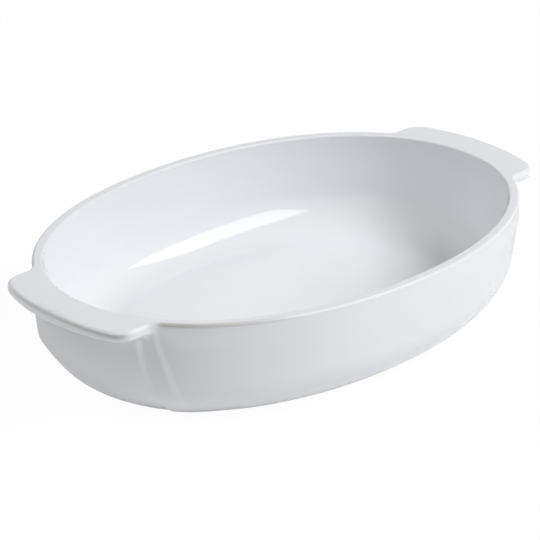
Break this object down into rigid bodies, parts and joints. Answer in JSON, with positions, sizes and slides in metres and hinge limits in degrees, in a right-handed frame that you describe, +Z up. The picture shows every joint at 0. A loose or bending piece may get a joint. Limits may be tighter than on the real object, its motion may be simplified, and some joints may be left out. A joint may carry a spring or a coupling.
{
  "type": "oval roasting dish",
  "caption": "Deep oval roasting dish in white-glazed stoneware with flush lug handles, two folds and a flute under each side of the handles, and a bare standing ring.",
  "frame": {"origin": "middle of the standing plane, under the middle of the oval", "axes": "+X along the long axis towards the right handle, +Y across the dish, +Z up out of the hollow"},
  "size_m": [0.353, 0.2218, 0.0654],
  "materials": {
    "stoneware": "fired tan clay, under the glaze",
    "bare_stoneware": "matt bare clay, slightly gritty",
    "white_glaze": "glossy white, breaking to tan on sharp edges"
  },
  "bodies": {
    "root": {"stoneware_bowl": "stoneware", "left_handle": "stoneware", "right_handle": "stoneware", "foot_ring": "bare_stoneware", "inside_glaze": "white_glaze", "outside_glaze": "white_glaze"}
  },
  "joints": []
}
